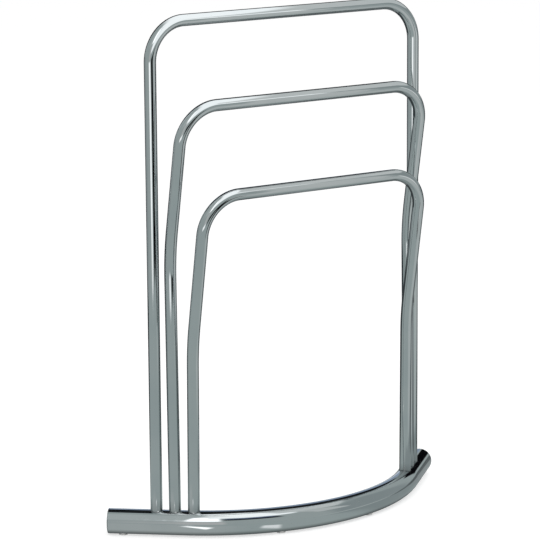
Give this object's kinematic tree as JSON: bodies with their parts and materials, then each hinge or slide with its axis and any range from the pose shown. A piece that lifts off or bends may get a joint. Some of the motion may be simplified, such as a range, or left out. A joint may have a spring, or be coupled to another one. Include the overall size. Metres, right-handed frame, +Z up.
{
  "type": "freestanding towel stand",
  "caption": "Chrome towel stand with nested U-shaped tube rails of stepped height on a bowed floor tube, for hanging towels in a bathroom.",
  "frame": {"origin": "on the floor, under the centre of the stand's bounding box", "axes": "+Z up; the front of the stand, where the base bows out and the rails lean, faces -Y; +X is to the right of someone facing it from the front, along the rails"},
  "size_m": [0.651, 0.2001, 0.8245],
  "materials": {
    "chrome_tube": "polished chrome plate on steel tube",
    "chrome_cap": "polished chrome plate on a pressed cap",
    "zinc_steel": "bright zinc plate",
    "pad_rubber": "matt off-white rubber"
  },
  "bodies": {
    "root": {"base_end_cap_left": "chrome_cap", "base_end_cap_right": "chrome_cap", "base_tube": "chrome_tube", "foot_pad_front_left": "pad_rubber", "foot_pad_front_right": "pad_rubber", "foot_pad_rear_left": "pad_rubber", "foot_pad_rear_right": "pad_rubber", "front_frame": "chrome_tube", "leg_plug_front_left": "zinc_steel", "leg_plug_front_right": "zinc_steel", "leg_plug_middle_left": "zinc_steel", "leg_plug_middle_right": "zinc_steel", "leg_plug_rear_left": "zinc_steel", "leg_plug_rear_right": "zinc_steel", "leg_screw_front_left": "zinc_steel", "leg_screw_front_right": "zinc_steel", "leg_screw_middle_left": "zinc_steel", "leg_screw_middle_right": "zinc_steel", "leg_screw_rear_left": "zinc_steel", "leg_screw_rear_right": "zinc_steel", "leg_washer_front_left": "zinc_steel", "leg_washer_front_right": "zinc_steel", "leg_washer_middle_left": "zinc_steel", "leg_washer_middle_right": "zinc_steel", "leg_washer_rear_left": "zinc_steel", "leg_washer_rear_right": "zinc_steel", "middle_frame": "chrome_tube", "rear_frame": "chrome_tube"}
  },
  "joints": []
}
